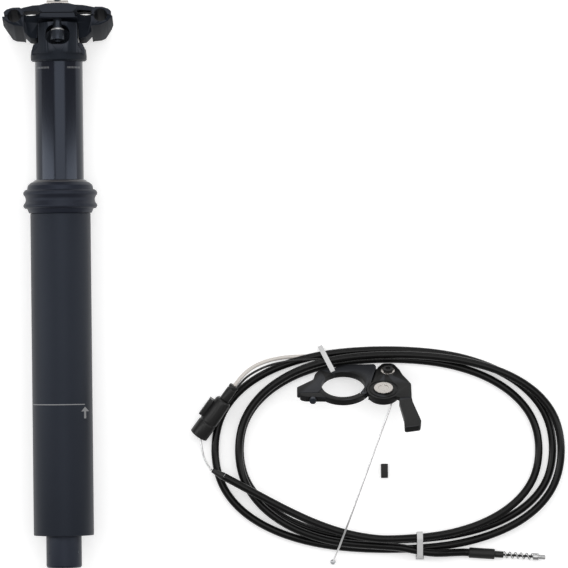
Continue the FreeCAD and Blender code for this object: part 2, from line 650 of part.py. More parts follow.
def remote_lever():
    """Thumb lever: hub on the pivot, lug for the cable screw and arm down to the pad."""
    top = LEVER_TOP
    pivot = Vector(*LEVER_PIVOT, 0)
    hub = cylinder(LEVER_HUB_R, pivot + Z * LEVER_FOOT, Z, top - LEVER_FOOT)
    web = plate([(15.3, 1.6, 0), (18.0, 14.4, 3.0), (20.6, 18.1, 2.6), (26.0, 18.1, 3.2),
                 (29.2, 12.2, 4.0), (30.6, 7.8, 8.0), (34.9, -0.4, 5.0), (34.9, -12.0, 0),
                 (28.9, -12.6, 0), (24.0, -10.0, 0), (16.0, -7.0, 0)], LEVER_FOOT, top)
    arm = plate([(30.4, 2.0, 0), (34.9, -0.4, 4.0), (34.9, -14.0, 30.0), (39.3, -32.6, 3.0),
                 (38.6, -37.0, 1.4), (30.7, -38.6, 1.2), (30.6, -30.0, 8.0), (28.4, -15.0, 6.0),
                 (28.6, -9.0, 0)], -PLATE_HALF, top - 0.4)
    arm = arm.cut(cylinder(LEVER_HUB_R + 0.7, pivot - Z * 3, Z, 3 + LEVER_FOOT))
    lever = hub.fuse(web).fuse(arm)
    lever = lever.cut(cylinder(BUSH_R + FIT_GAP, pivot - Z * 2, Z, 10))
    lever = lever.cut(cylinder(1.4 + FIT_GAP, Vector(*ANCHOR, -2), Z, 10))
    groove = ring(7.5, 6.9, pivot + Z * (top - 0.4), Z, 1)
    return lever.cut(groove).removeSplitter()


def remote_parts():
    h = PLATE_HALF
    top = LEVER_TOP
    pivot = Vector(*LEVER_PIVOT, 0)
    anchor = Vector(*ANCHOR, 0)
    save("remote_body", on_remote(remote_body()))
    save("remote_band", on_remote(remote_band()))
    save("remote_lever", on_remote(remote_lever()))
    save("band_hinge_pin", on_remote(cylinder(HINGE_R, Vector(*HINGE, -h), Z, 2 * h)))
    bolt = cylinder(CLAMP_BOLT_R, Vector(CLAMP_BOLT_U, -11.0, 0), Y, 9.4)
    bolt = bolt.fuse(cylinder(1.75, Vector(CLAMP_BOLT_U, -12.6, 0), Y, 1.85))
    save("remote_clamp_bolt", on_remote(bolt))
    bolt = cylinder(PIVOT_BOLT_R, pivot + Z * SHELF_FOOT, Z, top + 0.4 - SHELF_FOOT)
    dome = cylinder(4.87, pivot + Z * (top + 0.3), Z, 0.75)
    bolt = bolt.fuse(dome.cut(cylinder(2.6, pivot + Z * (top + 0.7), Z, 1)))
    save("lever_pivot_bolt", on_remote(bolt))
    bush = ring(BUSH_R - FIT_GAP, PIVOT_BOLT_R + RUNNING, pivot + Z * LEVER_FOOT, Z, top - LEVER_FOOT)
    save("lever_bushing", on_remote(bush))
    spring = ring(6.0, 4.5, pivot + Z * (SHELF_TOP - 1.1), Z, 0.95)
    save("lever_return_spring", on_remote(spring))
    screw = cylinder(1.4, anchor + Z * LEVER_FOOT, Z, top + 0.8 - LEVER_FOOT)
    screw = screw.fuse(cylinder(2.6, anchor + Z * (top + 0.65), Z, 1.3))
    screw = screw.cut(cylinder(1.3, anchor + Z * (top + 0.9), Z, 2))
    save("cable_anchor_screw", on_remote(screw))
    washer = ring(3.6, 1.4 + FIT_GAP, anchor + Z * top, Z, 0.6)
    save("cable_anchor_washer", on_remote(washer))


def on_adjuster(profile, inner):
    """Turned piece on the adjuster's axis from (radius, distance along it) points."""
    return laid(turned(profile, inner))


def laid(shape):
    """Shape moved from the post axis to the adjuster's axis."""
    moved = shape.copy()
    turn = FreeCAD.Rotation(Y, ADJUSTER_AIM)
    moved.transformShape(FreeCAD.Placement(ADJUSTER_FOOT, turn).toMatrix())
    return moved


def adjuster_parts():
    r, n, length = ADJUSTER_R, ADJUSTER_NECK_R, ADJUSTER_LENGTH
    body = on_adjuster([(r - 0.4, 0), (r, 0.4), (r, 8.0), (r - 0.35, 8.3), (r - 0.35, 8.9),
                        (r - 0.1, 9.2), (n, length - 1), (n - 0.6, length)], 1.1)
    bore = on_adjuster([(2.0, length - 9), (2.0, length + 1)], 0)
    save("adjuster_body", body.cut(bore))
    top = length + BARREL_LENGTH
    barrel = on_adjuster([(1.95, length - 8.5), (1.95, length + 0.3), (BARREL_R, length + 0.3),
                          (BARREL_R, top - 2.6), (BARREL_R - 0.3, top - 2.3), (BARREL_R - 0.3, top - 1.8),
                          (BARREL_R, top - 1.5), (BARREL_R, top - 0.3), (BARREL_R - 0.3, top)], 1.1)
    save("adjuster_barrel", barrel)
    clip = box(Vector(-6.6, 10.0, -2.4), Vector(-3.0, 20.0, 2.4))
    clip = clip.cut(cylinder(n + 0.62, Y * 9, Y, 12))
    for k in range(4):
        clip = clip.cut(cylinder(0.45, Vector(-6.75, 11.6 + 2.2 * k, -3), Z, 6))
    save("adjuster_grip", laid(clip))


def tie(centre, across, loop, width, head, tail=None):
    """Cable tie from an (across, up, radius) outline: band round the bundle, head and tail."""
    inner = outline(loop)
    outer = inner.makeOffset2D(TIE_WALL)
    solids = []
    for wire in (outer, inner):
        face = Part.Face(wire)
        face.translate(Z * -width / 2)
        solids.append(face.extrude(Z * width))
    band = solids[0].cut(solids[1])
    left, foot, right, top = head
    lock = box(Vector(left, foot, -width / 2 - 0.6), Vector(right, top, width / 2 + 0.6))
    band = band.fuse(lock.cut(solids[1]))
    if tail:
        band = band.fuse(plate(tail, -width / 2, width / 2).cut(solids[1]))
    band = band.removeSplitter()
    a = across.normalize()
    frame = FreeCAD.Matrix(a.x, 0, a.y, centre.x, a.y, 0, -a.x, centre.y, 0, 1, 0, 0, 0, 0, 0, 1)
    band.transformShape(frame)
    return band


def cable_kit():
    save("housing_coil", housing_coil())
    low = COIL_Z - HOUSING_R - 0.12
    round_top = [(-9.0, low, 0.9), (-9.0, -15.5, 1.0), (-6.2, -12.6, 1.0), (-1.9, -9.5, 1.2),
                 (0.9, -9.5, 1.2), (2.75, -11.2, 1.2), (2.75, -12.2, 1.2), (4.75, -15.2, 1.2),
                 (4.75, low, 0.9)]
    tail = [(0.8, -9.7, 0), (5.37, -6.69, 0), (4.93, -6.36, 0.2), (0.4, -9.1, 0)]
    round_foot = [(-6.6, low, 0.9), (-7.4, -5.1, 1.6), (-3.9, -5.1, 1.6), (5.6, -9.2, 1.6),
                  (4.4, low, 0.9)]
    first = tie(TOP_TIE, Vector(0.45, -0.893, 0), round_top, 2.5, (4.9, low, 7.3, -15.6),
                tail)
    second = tie(FOOT_TIE, Vector(0, -1, 0), round_foot, 3.0, (4.8, low, 7.0, -15.5))
    save("cable_ties", Part.makeCompound([first, second]))
    a = ADJUSTER_AIM
    mouth = ADJUSTER_FOOT + a * (ADJUSTER_LENGTH + BARREL_LENGTH + 0.1)
    liner = cord("cable_liner", [mouth, mouth + a * 6.0, over_floor(97.7, 85.6, 9.6),
                                 over_floor(105.7, 89.9, 6.2), over_floor(115.1, 92.4, 2.8),
                                 over_floor(124.7, 93.2, 1.7), over_floor(136.5, 93.5, 1.7)], LINER_R)
    save("cable_liner", liner)
    loose = over_floor(165.0, 27.0, 1.85)
    save("loose_ferrule", ring(1.85, 1.3, loose, Y, 7.3).fuse(cylinder(1.85, loose + Y * 6.3, Y, 1.0)))


def spring_end():
    """Boot, ferrule, spring and nipple on the end of the cable."""
    at = Vector(TAIL_END) + TAIL_AIM * 0.1
    a = Vector(TAIL_AIM).normalize()
    boot = cylinder(BOOT_R, at, a, BOOT_LENGTH)
    save("housing_boot", boot)
    at = at + a * (BOOT_LENGTH + 0.1)
    ferrule = ring(1.7, CABLE_R + 0.1, at, a, 4.4)
    save("end_ferrule", ferrule)
    return at + a * 4.5, a


def cable_spring(start, aim):
    """Open coil spring as one tube on half-turn biarcs, with its least gap printed."""
    side = Vector(-aim.y, aim.x, 0)
    up = aim.cross(side)
    stations = []
    for k in range(2 * SPRING_CURLS + 1):
        t = math.pi * k
        out = side * math.cos(t) + up * math.sin(t)
        rise = SPRING_PITCH * k / 2 + SPRING_WIRE
        way = (side * -math.sin(t) + up * math.cos(t)) * SPRING_R
        way = way + aim * (SPRING_PITCH / (2 * math.pi))
        stations.append((start + aim * rise + out * SPRING_R, way))
    arcs = []
    for (p0, t0), (p1, t1) in zip(stations, stations[1:]):
        arcs += biarc(p0, t0, p1, t1)
    print(f"cable_spring: gap {SPRING_PITCH - 2 * SPRING_WIRE:.2f}")
    return tube_of(Part.Wire(arcs), *stations[0], SPRING_WIRE)


def cable_end():
    start, aim = spring_end()
    save("cable_spring", cable_spring(start, aim))
    length = SPRING_PITCH * SPRING_CURLS + 2 * SPRING_WIRE
    save("end_cable", cylinder(CABLE_R, start - aim * 4.3, aim, length + 4.2))
    nipple = cylinder(1.9, start + aim * length, aim, 3.0)
    nipple = nipple.fuse(cylinder(1.2, start + aim * (length + 3.0), aim, 3.4))
    save("cable_nipple", nipple)


def wires():
    a = ADJUSTER_AIM
    foot = ADJUSTER_FOOT + a * -0.4
    stub = STUB_START
    aim = Vector(STUB_AIM).normalize()
    tip = stub - aim * 7.4
    foot = foot + Vector(a.y, -a.x, 0) * 1.5
    route = [foot, over_floor(71.0, 42.9, 6.4), over_floor(72.5, 37.0, 9.0), tip]
    save("adjuster_wire", cord("adjuster_wire", route, WIRE_R))
    ferrule = Part.makeCone(1.0, HOUSING_R + 0.1, 6.8, stub - aim * 6.9, aim)
    save("housing_ferrule", ferrule)
    start = remote_point(25.2, -8.2, SHELF_FOOT - 0.9)
    bead = over_floor(137.9, -16.1, 1.4)
    over = over_floor(144.5, -6.0, 15.6)
    toward = (bead - over).normalize()
    route = [start, start + (over - start) * 0.5 + Z * 0.6, over, bead - toward * 1.5]
    save("lever_wire", cord("lever_wire", route, WIRE_R))
    save("wire_bead", Part.makeSphere(1.4, bead))


def inner_cable():
    a = ADJUSTER_AIM
    side = Vector(a.y, -a.x, 0)
    mouth = ADJUSTER_FOOT + a * (ADJUSTER_LENGTH + BARREL_LENGTH + 0.1) + side * 1.75 + Z * 0.4
    return cord("inner_cable", [mouth, mouth + a * 5.0, over_floor(98.4, 83.2, 10.4),
                                over_floor(106.3, 87.5, 7.8), over_floor(115.9, 89.9, 5.6),
                                over_floor(126.0, 91.2, 5.2), over_floor(137.5, 92.2, 5.3)], CABLE_R)


def main():
    os.makedirs("parts", exist_ok=True)
    save("outer_tube", outer_tube())
    save("seal_collar", seal_collar())
    save("collar_cover", collar_cover())
    save("wiper_seal", wiper_seal())
    save("upper_bushing", upper_bushing())
    save("topout_bumper", topout_bumper())
    save("inner_tube", inner_tube())
    save("guide_keys", Part.makeCompound(keys(0)))
    save("lower_bushing", lower_bushing())
    cartridge_parts()
    save("bottom_cap", bottom_cap())
    actuator_parts()
    save("post_head", post_head())
    save("lower_cradle", lower_cradle())
    save("upper_clamp", upper_clamp())
    clamp_fasteners()
    remote_parts()
    adjuster_parts()
    cable_kit()
    cable_end()
    wires()
    save("inner_cable", inner_cable())


main()
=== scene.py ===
# %% [markdown]
# # A dropper seatpost, laid out with its remote and its coil of housing
# The CAD model gives the frame: where each piece lies and how it moves. Here every piece that
# shows gets its real surface. Blender works in metres, with +Y along the post and +Z up.

# %% Load the frame
import math

import bmesh
import bpy
from mathutils import Matrix, Vector
from mathutils.kdtree import KDTree


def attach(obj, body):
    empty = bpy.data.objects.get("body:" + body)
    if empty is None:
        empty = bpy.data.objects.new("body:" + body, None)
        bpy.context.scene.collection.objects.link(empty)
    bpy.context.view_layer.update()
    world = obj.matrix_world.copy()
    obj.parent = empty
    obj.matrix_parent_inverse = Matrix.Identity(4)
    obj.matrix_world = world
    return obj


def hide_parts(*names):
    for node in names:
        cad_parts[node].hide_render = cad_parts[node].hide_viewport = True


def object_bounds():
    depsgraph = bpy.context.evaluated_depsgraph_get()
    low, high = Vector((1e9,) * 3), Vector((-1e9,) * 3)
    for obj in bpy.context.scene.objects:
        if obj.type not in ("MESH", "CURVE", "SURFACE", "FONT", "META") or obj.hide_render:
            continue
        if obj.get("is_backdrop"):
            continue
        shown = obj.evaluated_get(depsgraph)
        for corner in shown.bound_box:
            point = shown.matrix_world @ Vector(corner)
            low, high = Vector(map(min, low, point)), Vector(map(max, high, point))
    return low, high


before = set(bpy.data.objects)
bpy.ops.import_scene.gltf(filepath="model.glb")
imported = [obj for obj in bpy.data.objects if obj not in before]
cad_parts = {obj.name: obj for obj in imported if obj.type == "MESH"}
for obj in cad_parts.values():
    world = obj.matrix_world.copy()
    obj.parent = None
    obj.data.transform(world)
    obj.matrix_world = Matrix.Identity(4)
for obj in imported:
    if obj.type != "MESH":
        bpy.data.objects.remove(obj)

MM = 0.001
scene = bpy.context.scene
for leftover in ("Cube", "Light", "Camera"):
    if leftover in bpy.data.objects:
        bpy.data.objects.remove(bpy.data.objects[leftover])
CAD_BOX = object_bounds()
print("CAD box in mm:", [round(1000 * (b - a), 1) for a, b in zip(*CAD_BOX)])

# %% [markdown]
# ## Camera and light
# The photograph looks straight down on the flat lay from far off, so a long lens three metres up
# keeps the post upright and its clamp square on. The camera is turned by a little more than half a
# degree, because the post leans that much in the picture.

# %% Camera
scene.view_settings.view_transform = "Standard"
PIXELS_PER_M = 1950.0
IMAGE_SIZE = 568
CAMERA_X, CAMERA_Y, CAMERA_HEIGHT = 0.11425, 0.12755, 3.0
LEAN = math.radians(0.625)


def add_camera():
    lens = bpy.data.cameras.new("camera")
    lens.sensor_width = 36.0
    lens.lens = PIXELS_PER_M * CAMERA_HEIGHT / IMAGE_SIZE * lens.sensor_width
    lens.clip_start, lens.clip_end = 0.1, 20.0
    eye = bpy.data.objects.new("camera", lens)
    eye.location = (CAMERA_X, CAMERA_Y, CAMERA_HEIGHT)
    eye.rotation_euler = (0, 0, -LEAN)
    scene.collection.objects.link(eye)
    scene.camera = eye
    print(f"lens {lens.lens:.0f} mm")


add_camera()
# %% [markdown]
# The light is soft and comes from all round, as in a light tent: a broad lamp overhead, a long strip
# on each side that draws the bright lines on the round tubes, and a weak even glow. The floor is
# plain and pale. It keeps the object's shadow, and a little light of its own lifts it to the white
# of the photograph.

# %% Lamps
def add_lamp(name, place, target, size, watts):
    light = bpy.data.lights.new(name, "AREA")
    light.shape = "RECTANGLE"
    light.size, light.size_y = size
    light.energy = watts
    lamp = bpy.data.objects.new(name, light)
    lamp.location = place
    aim = Vector(target) - Vector(place)
    lamp.rotation_euler = aim.to_track_quat("-Z", "Y").to_euler()
    scene.collection.objects.link(lamp)


MIDDLE = (0.11, 0.13, 0.0)
LAMPS = (
    ("overhead", (0.11, 0.30, 1.1), (1.0, 1.0), 5.6),
    ("strip_left", (-0.75, 0.15, 0.42), (0.22, 1.3), 3.4),
    ("strip_right", (0.95, 0.15, 0.45), (0.22, 1.3), 2.9),
    ("back", (0.11, 1.05, 0.55), (1.2, 0.3), 2.9),
)
for lamp_name, lamp_place, lamp_size, lamp_watts in LAMPS:
    add_lamp(lamp_name, lamp_place, MIDDLE, lamp_size, lamp_watts)
print(len(LAMPS), "lamps")

# %% [markdown]
# Shader maths reads best as plain sums, so one small class lets Python's own signs join sockets.
# A sheet holds one material: it makes any node from its type, its settings and its inputs.

# %% Sums of sockets
class Wire:
    """A number that varies over a surface, for use in Python sums."""

    def __init__(self, sheet, socket):
        self.sheet, self.socket = sheet, socket

    def _sum(self, operation, left, right):
        made = self.sheet.node("ShaderNodeMath", {"operation": operation}, {0: left, 1: right})
        return made[0]

    def __add__(self, other):
        return self._sum("ADD", self, other)

    def __radd__(self, other):
        return self._sum("ADD", other, self)

    def __sub__(self, other):
        return self._sum("SUBTRACT", self, other)

    def __rsub__(self, other):
        return self._sum("SUBTRACT", other, self)

    def __mul__(self, other):
        return self._sum("MULTIPLY", self, other)

    def __rmul__(self, other):
        return self._sum("MULTIPLY", other, self)

    def __lt__(self, other):
        return self._sum("LESS_THAN", self, other)

    def __gt__(self, other):
        return self._sum("GREATER_THAN", self, other)

    def __abs__(self):
        return self._sum("ABSOLUTE", self, 0.0)


class Sheet:
    """One material, and the one way in which its nodes are made."""

    def __init__(self, name):
        self.material = bpy.data.materials.new(name)
        self.material.use_nodes = True
        self.tree = self.material.node_tree
        self.tree.nodes.clear()
        self.out = self.tree.nodes.new("ShaderNodeOutputMaterial")

    def node(self, kind, settings=None, inputs=None):
        """A node of that type, as the list of its outputs."""
        made = self.tree.nodes.new(kind)
        for key, value in (settings or {}).items():
            if key == "stops":
                self.set_stops(made.color_ramp, value)
            else:
                setattr(made, key, value)
        for key, value in (inputs or {}).items():
            if isinstance(value, Wire):
                self.tree.links.new(value.socket, made.inputs[key])
            else:
                made.inputs[key].default_value = value
        return [Wire(self, socket) for socket in made.outputs]

    def set_stops(self, ramp, stops):
        while len(ramp.elements) < len(stops):
            ramp.elements.new(0.5)
        for element, (place, grey) in zip(ramp.elements, stops):
            element.position = place
            element.color = (grey, grey, grey, 1.0)

    def place(self):
        """Where a point of the piece is, in metres."""
        return self.node("ShaderNodeTexCoord")[3]

    def axes(self):
        """The same place as its x, y and z."""
        return self.node("ShaderNodeSeparateXYZ", None, {0: self.place()})

    def noise(self, size, detail=2.0, stretch=(1.0, 1.0, 1.0)):
        """Cloudy numbers around a half, with blots about as large as the size in metres."""
        moved = self.node("ShaderNodeMapping", None, {0: self.place(), "Scale": stretch})[0]
        inputs = {"Vector": moved, "Scale": 1.0 / size, "Detail": detail}
        return self.node("ShaderNodeTexNoise", None, inputs)[0]

    def tint(self, share, first, second):
        """One colour, plain or varying, where the share is 0 and another where it is 1."""
        under = first if isinstance(first, Wire) else (*first, 1.0)
        made = self.node("ShaderNodeMix", {"data_type": "RGBA"},
                         {0: share, 6: under, 7: (*second, 1.0)})
        return made[2]

    def bump(self, height, depth):
        return self.node("ShaderNodeBump", None, {"Height": height, "Distance": depth,
                                                  "Strength": 1.0})[0]

    def paint(self, constants, varying):
        """The surface itself: constants sit on the shader, what varies is linked to it."""
        shader = self.node("ShaderNodeBsdfPrincipled", None, {**constants, **varying})[0]
        self.tree.links.new(shader.socket, self.out.inputs[0])
        return self.material


# %% [markdown]
# The floor is a large flat sheet. Rays from the camera, and those that a mirror or glass passes on,
# see a little of its own light on top of what the lamps give it, so it comes out white while the
# shadow under the post stays. The room glows weakly, and looks white to the camera.

# %% Floor and room
FLOOR = -0.019
FLOOR_GLOW, ROOM_GLOW, ROOM_SEEN = 0.42, 0.36, 1.0


def floor_material():
    sheet = Sheet("floor_paper")
    path = sheet.node("ShaderNodeLightPath")
    from_camera, from_mirror, through_glass = path[0], path[3], path[6]
    seen = from_camera + from_mirror + through_glass > 0.5
    grain = sheet.noise(0.004)
    colour = sheet.tint(grain, (0.78, 0.78, 0.78), (0.80, 0.80, 0.80))
    paper = sheet.node("ShaderNodeBsdfDiffuse", None, {0: colour})[0]
    glow = sheet.node("ShaderNodeEmission", None, {0: (1.0, 1.0, 1.0, 1.0), 1: seen * FLOOR_GLOW})[0]
    both = sheet.node("ShaderNodeAddShader", None, {0: paper, 1: glow})[0]
    sheet.tree.links.new(both.socket, sheet.out.inputs[0])
    return sheet.material


def add_floor():
    mesh = bpy.data.meshes.new("floor")
    half = 3.0
    corners = [(-half, -half, FLOOR), (half, -half, FLOOR), (half, half, FLOOR), (-half, half, FLOOR)]
    mesh.from_pydata(corners, [], [(0, 1, 2, 3)])
    mesh.materials.append(floor_material())
    floor = bpy.data.objects.new("floor", mesh)
    scene.collection.objects.link(floor)
    floor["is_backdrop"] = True


def light_room():
    world = bpy.data.worlds.new("room")
    world.use_nodes = True
    scene.world = world
    tree = world.node_tree
    tree.nodes.clear()
    out = tree.nodes.new("ShaderNodeOutputWorld")
    path = tree.nodes.new("ShaderNodeLightPath")
    glow = tree.nodes.new("ShaderNodeBackground")
    glow.inputs[0].default_value = (1.0, 1.0, 1.0, 1.0)
    strength = tree.nodes.new("ShaderNodeMapRange")
    tree.links.new(path.outputs["Is Camera Ray"], strength.inputs["Value"])
    strength.inputs["To Min"].default_value = ROOM_GLOW
    strength.inputs["To Max"].default_value = ROOM_SEEN
    tree.links.new(strength.outputs[0], glow.inputs[1])
    tree.links.new(glow.outputs[0], out.inputs[0])


add_floor()
light_room()
print("floor at", FLOOR, "m")
# %% [markdown]
# ## Finishes
# Most of the product is aluminium, anodised black. That finish is a thin dyed layer: nearly even in
# colour, with a fine grain that shows where light grazes it, and worn paler on its sharp edges. One
# function makes the black metals by their colour, gloss and grain. The two tubes, which carry marks,
# have their own further down.

# %% Black metal
COOL = (0.70, 0.80, 1.0, 1.0)
EVEN = (1.0, 1.0, 1.0, 1.0)


def black_metal(name, colour, rough, index, cast=COOL, grain=0.0006, depth=0.0, edge=0.0):
    sheet = Sheet(name)
    cloud = sheet.noise(grain)
    patches = sheet.noise(0.02)
    lighter = tuple(min(1.0, c * 1.5 + 0.004) for c in colour)
    base = sheet.tint(patches, colour, lighter)
    varying = {"Roughness": rough + (cloud - 0.5) * 0.10 + (patches - 0.5) * 0.06}
    if edge:
        pointed = sheet.node("ShaderNodeNewGeometry")[7]
        worn = sheet.node("ShaderNodeMapRange", {"clamp": True},
                          {"Value": pointed, "From Min": 0.53, "From Max": 0.60})[0]
        base = sheet.tint(worn * edge, base, (0.16, 0.17, 0.20))
    varying["Base Color"] = base
    if depth:
        varying["Normal"] = sheet.bump(cloud, depth)
    return sheet.paint({"IOR": index, "Specular Tint": cast}, varying)


TUBE_BLACK = black_metal("satin_tube", (0.006, 0.007, 0.012), 0.42, 1.36, depth=0.000004)
HEAD_BLACK = black_metal("forged_head", (0.003, 0.004, 0.006), 0.44, 1.24, grain=0.0009, depth=0.00001,
                         edge=0.16)
CLAMP_BLACK = black_metal("machined_clamp", (0.002, 0.003, 0.005), 0.62, 1.22, depth=0.000008, edge=0.12)
BOLT_BLACK = black_metal("blackened_bolt", (0.006, 0.007, 0.009), 0.30, 1.45, edge=0.3)
REMOTE_BLACK = black_metal("satin_remote", (0.004, 0.004, 0.004), 0.44, 1.26, EVEN, depth=0.000008,
                           edge=0.12)
print("black metals ready")

# %% [markdown]
# Bare metal parts are small: bolts, pins, nipples and springs. Turning leaves fine rings, so their
# gloss changes a little from place to place.

# %% Bare metal
def bare_metal(name, colour, rough, streak=(1.0, 1.0, 1.0)):
    sheet = Sheet(name)
    lines = sheet.noise(0.0007, 3.0, streak)
    darker = tuple(c * 0.72 for c in colour)
    varying = {
        "Base Color": sheet.tint(lines, darker, colour),
        "Roughness": rough + (lines - 0.5) * 0.2,
        "Normal": sheet.bump(lines, 0.000008),
    }
    return sheet.paint({"Metallic": 1.0}, varying)


BOLT_STEEL = bare_metal("plated_steel", (0.50, 0.50, 0.50), 0.30)
SILVER = bare_metal("turned_silver", (0.56, 0.53, 0.50), 0.26)
SHAFT_STEEL = bare_metal("ground_shaft", (0.68, 0.69, 0.71), 0.16, (1.0, 6.0, 1.0))
ALLOY = bare_metal("plain_alloy", (0.60, 0.61, 0.63), 0.36)
BRASS = bare_metal("key_brass", (0.72, 0.53, 0.24), 0.3)
CABLE_STEEL = bare_metal("wire_steel", (0.80, 0.80, 0.80), 0.34)
print("bare metals ready")

# %% [markdown]
# The soft blacks are moulded: matt rubber on the collar, nylon on the adjuster, and the extruded
# jacket of the cable housing, whose gloss makes the long bright lines of the coil.

# %% Rubber and plastic
def moulded(name, colour, rough, index=1.5, grain=0.0005, depth=0.00001, coat=0.0):
    sheet = Sheet(name)
    cloud = sheet.noise(grain)
    patches = sheet.noise(0.015)
    lighter = tuple(min(1.0, c * 1.25 + 0.003) for c in colour)
    varying = {
        "Base Color": sheet.tint(patches, colour, lighter),
        "Roughness": rough + (cloud - 0.5) * 0.12,
        "Normal": sheet.bump(cloud, depth),
    }
    return sheet.paint({"IOR": index, "Coat Weight": coat, "Coat Roughness": 0.1}, varying)


RUBBER = moulded("collar_rubber", (0.008, 0.009, 0.013), 0.55, 1.36, depth=0.00002)
NYLON = moulded("adjuster_nylon", (0.007, 0.007, 0.007), 0.36, 1.36)
JACKET = moulded("housing_jacket", (0.002, 0.002, 0.002), 0.22, 1.25, grain=0.0012, depth=0.0)
BOOT = moulded("boot_rubber", (0.006, 0.006, 0.006), 0.5, 1.36)
TIE = moulded("tie_nylon", (0.50, 0.50, 0.50), 0.35)
LINER = moulded("milky_liner", (0.50, 0.47, 0.44), 0.30, grain=0.002, coat=0.3)
DARK_CABLE = moulded("coated_cable", (0.008, 0.008, 0.008), 0.35, 1.36)
BEARING = moulded("bearing_plastic", (0.16, 0.16, 0.155), 0.5)
print("moulded finishes ready")

# %% [markdown]
# ## What goes on each piece of the CAD model
# Every CAD node gets its finish, also the ones inside, which show when the post is opened up or
# moved. Nodes that are replaced further down keep theirs in case they are looked at alone.

# %% Finishes by node
FINISHES = {
    TUBE_BLACK: ("outer_tube", "inner_tube", "seal_collar", "bottom_cap", "housing_ferrule", "end_ferrule"),
    HEAD_BLACK: ("post_head",),
    CLAMP_BLACK: ("lower_cradle", "upper_clamp"),
    REMOTE_BLACK: ("remote_body", "remote_band", "remote_lever"),
    RUBBER: ("collar_cover", "wiper_seal", "topout_bumper", "bottomout_bumper"),
    BOOT: ("housing_boot",),
    NYLON: ("adjuster_body", "adjuster_barrel", "adjuster_grip"),
    JACKET: ("housing_coil",),
    TIE: ("cable_ties",),
    LINER: ("cable_liner",),
    DARK_CABLE: ("inner_cable",),
    BEARING: ("upper_bushing", "lower_bushing", "floating_piston", "lever_bushing"),
    BRASS: ("guide_keys",),
    ALLOY: ("cartridge_body", "cartridge_seal_head", "cartridge_retainer", "top_plug", "shaft_piston",
            "actuator_lever", "cable_nipple", "loose_ferrule", "wire_bead"),
    SHAFT_STEEL: ("cartridge_shaft", "release_pin", "lever_return_spring"),
    BOLT_BLACK: ("shaft_nut", "actuator_pin", "band_hinge_pin"),
    BOLT_STEEL: ("clamp_bolts", "clamp_barrel_nuts", "clamp_washers", "remote_clamp_bolt",
                 "cable_anchor_screw", "cable_spring"),
    SILVER: ("lever_pivot_bolt", "cable_anchor_washer"),
    CABLE_STEEL: ("end_cable", "adjuster_wire", "lever_wire"),
}


def coat_nodes():
    done = 0
    for material, names in FINISHES.items():
        for name in names:
            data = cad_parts[name].data
            data.materials.clear()
            data.materials.append(material)
            done += 1
    print(done, "of", len(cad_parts), "CAD nodes have a finish")


coat_nodes()

# %% [markdown]
# ## Round pieces, turned as on a lathe
# The tubes, the collar and its rubber sleeve are bodies of revolution. A list of radii and places
# along the post is spun into a closed skin, with many steps so that the bright lines stay straight.

# %% A lathe along the post
def add_piece(name, mesh, material, body, replaced=()):
    """Puts a finished mesh in the scene, on its body, in place of the CAD nodes it stands for."""
    if not mesh.materials:
        mesh.materials.append(material)
    piece = bpy.data.objects.new(name, mesh)
    scene.collection.objects.link(piece)
    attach(piece, body)
    if replaced:
        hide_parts(*replaced)
    return piece


def lathe_mesh(name, profile, sharp=30.0, steps=160):
    """Closed ring of (radius, y) points in millimetres, spun about the post axis."""
    form = bmesh.new()
    rings = []
    for radius, y in profile:
        ring = []
        for k in range(steps):
            turn = 2 * math.pi * k / steps
            ring.append(form.verts.new((MM * radius * math.cos(turn), MM * y,
                                        MM * radius * math.sin(turn))))
        rings.append(ring)
    for near, far in zip(rings, rings[1:] + rings[:1]):
        for k in range(steps):
            after = (k + 1) % steps
            form.faces.new((near[k], near[after], far[after], far[k]))
    bmesh.ops.recalc_face_normals(form, faces=form.faces)
    mesh = bpy.data.meshes.new(name)
    form.to_mesh(mesh)
    form.free()
    mesh.shade_smooth()
    mesh.set_sharp_from_angle(angle=math.radians(sharp))
    return mesh


def rounded_profile(points, soft=0.25, count=4):
    """The profile with each corner swapped for a short curve."""
    out = []
    size = len(points)
    for k in range(size):
        here = Vector(points[k])
        back = Vector(points[k - 1]) - here
        ahead = Vector(points[(k + 1) % size]) - here
        reach = min(soft, back.length * 0.45, ahead.length * 0.45)
        start, stop = here + back.normalized() * reach, here + ahead.normalized() * reach
        for step in range(count + 1):
            share = step / count
            first, second = start.lerp(here, share), here.lerp(stop, share)
            out.append(tuple(first.lerp(second, share)))
    return out

# %% [markdown]
# The outer tube is matt black. Its one mark is generic: a fine pale line, where insertion ends,
# with a small arrow beside it. Both are drawn in the material from the tube's own coordinates.

# %% Outer tube
INSERT_LINE_Y, ARROW_X, ARROW_Y = 0.0672, 0.0119, 0.0622
TUBE_R, TUBE_WALL, TUBE_TOP = 15.45, 1.7, 174.0
SHOULDER_R, SHOULDER_Y = 15.0, 165.0


def marked_tube_material():
    sheet = Sheet("marked_tube")
    x, y, z = sheet.axes()
    cloud = sheet.noise(0.0006)
    patches = sheet.noise(0.03)
    front = z > 0.004
    line = (abs(y - INSERT_LINE_Y) < 0.00022) * front * (x < 0.0118)
    arrow_x, arrow_y = abs(x - ARROW_X), y - ARROW_Y
    head = (arrow_x + arrow_y * 0.8 < 0.0030) * (arrow_y > 0.0014)
    stem = (arrow_x < 0.0005) * (abs(arrow_y) < 0.0022)
    mark = (line * 0.8 + (head + stem) * front * 0.8 > 0.5) * 0.40
    base = sheet.tint(patches, (0.005, 0.006, 0.009), (0.008, 0.009, 0.013))
    varying = {
        "Base Color": sheet.tint(mark, base, (0.55, 0.55, 0.55)),
        "Roughness": 0.46 + (cloud - 0.5) * 0.12,
        "Normal": sheet.bump(cloud, 0.000006),
    }
    return sheet.paint({"IOR": 1.36, "Specular Tint": COOL}, varying)


